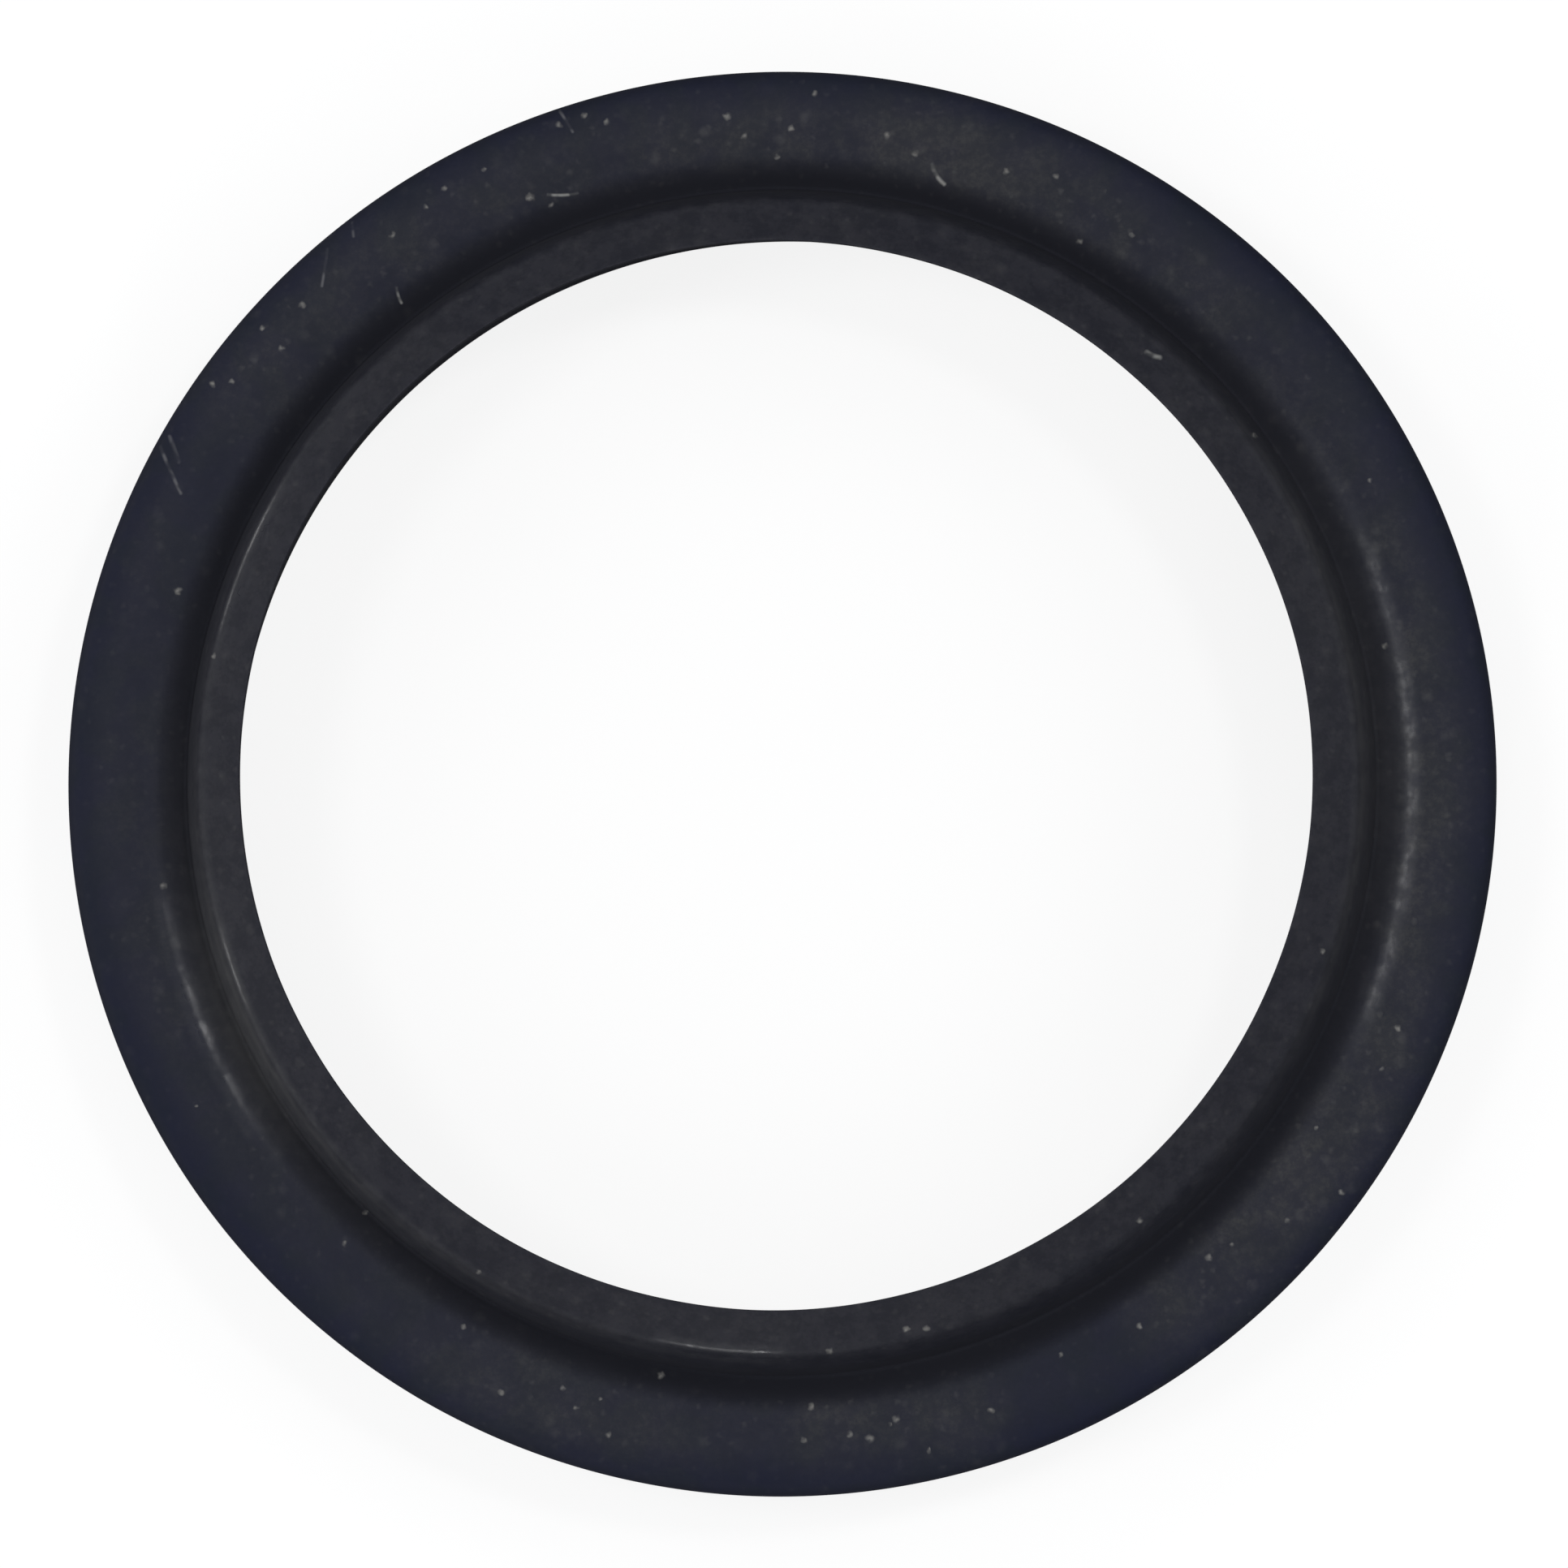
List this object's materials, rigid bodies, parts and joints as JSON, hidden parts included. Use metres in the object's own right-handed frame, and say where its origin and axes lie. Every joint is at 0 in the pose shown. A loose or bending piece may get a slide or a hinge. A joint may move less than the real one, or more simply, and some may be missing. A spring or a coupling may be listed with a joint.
{
  "type": "wiper seal",
  "caption": "Moulded rubber rod wiper ring: flat-backed heel, broad front land, dirt groove and an inward-leaning wiping lip.",
  "frame": {"origin": "on the ring's axis, at the back face of the heel", "axes": "+Z along the ring's axis, from the flat back face towards the wiping lip"},
  "size_m": [0.0402, 0.0402, 0.007],
  "materials": {
    "black_rubber": "dull moulded nitrile rubber, blue-black, lightly dusty"
  },
  "bodies": {
    "root": {"wiper_ring": "black_rubber"}
  },
  "joints": []
}
